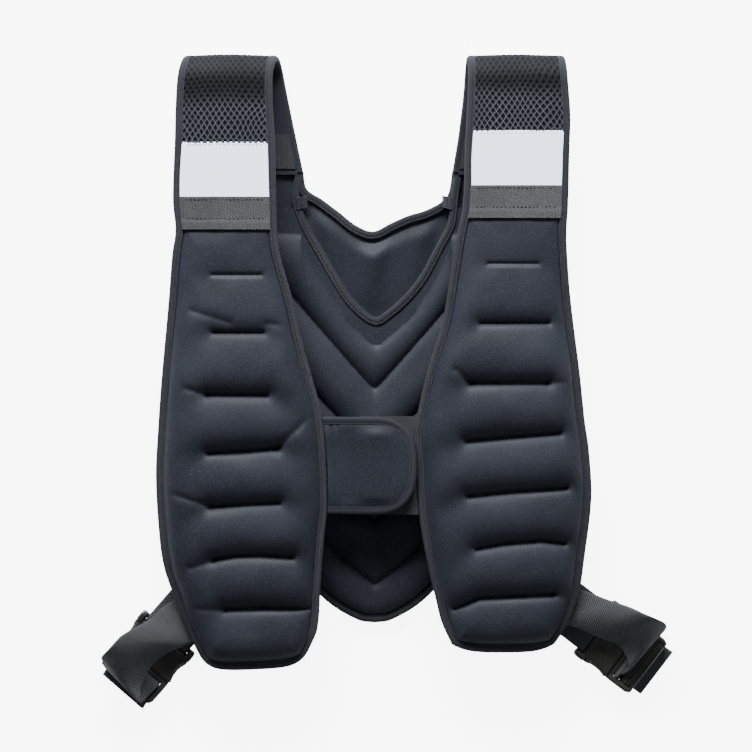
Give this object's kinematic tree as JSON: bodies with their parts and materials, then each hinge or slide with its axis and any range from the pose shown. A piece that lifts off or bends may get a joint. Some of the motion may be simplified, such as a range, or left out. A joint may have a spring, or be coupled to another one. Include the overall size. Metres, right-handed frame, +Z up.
{
  "type": "weighted vest",
  "caption": "Padded weighted vest laid flat, with padded shoulder straps, reflective patches, a chest closing tab and adjustable side webbing with fastened side release buckles.",
  "frame": {"origin": "on the floor under the middle of the bounding box, as the vest lies on its back", "axes": "+Y from the lower edge towards the shoulder folds, +Z up from the floor, away from the back, +X towards the right side strap as seen from above"},
  "size_m": [0.537, 0.609, 0.0559],
  "materials": {
    "neoprene": "matt black neoprene",
    "edge_tape": "matt dark grey woven tape",
    "air_mesh": "open black knit",
    "reflective": "pale silver retroreflective film",
    "twill_band": "grey twill webbing",
    "webbing": "black ribbed webbing",
    "buckle": "black moulded acetal"
  },
  "bodies": {
    "root": {"front_panel_left": "neoprene", "front_panel_right": "neoprene", "strap_pad_left": "neoprene", "strap_pad_right": "neoprene", "shoulder_mesh_left": "air_mesh", "shoulder_mesh_right": "air_mesh", "reflective_patch_left": "reflective", "reflective_patch_right": "reflective", "strap_band_left": "twill_band", "strap_band_right": "twill_band", "front_binding_left": "edge_tape", "front_binding_right": "edge_tape", "back_shell": "neoprene", "back_pad": "neoprene", "neck_binding": "edge_tape", "back_pad_binding": "edge_tape", "back_binding": "edge_tape", "chest_tab": "neoprene", "chest_tab_binding": "edge_tape", "chest_band": "webbing", "side_webbing_left": "webbing", "side_webbing_right": "webbing", "back_webbing_left": "webbing", "back_webbing_right": "webbing", "buckle_socket_left": "buckle", "buckle_socket_right": "buckle", "buckle_prong_left": "buckle", "buckle_prong_right": "buckle"}
  },
  "joints": []
}
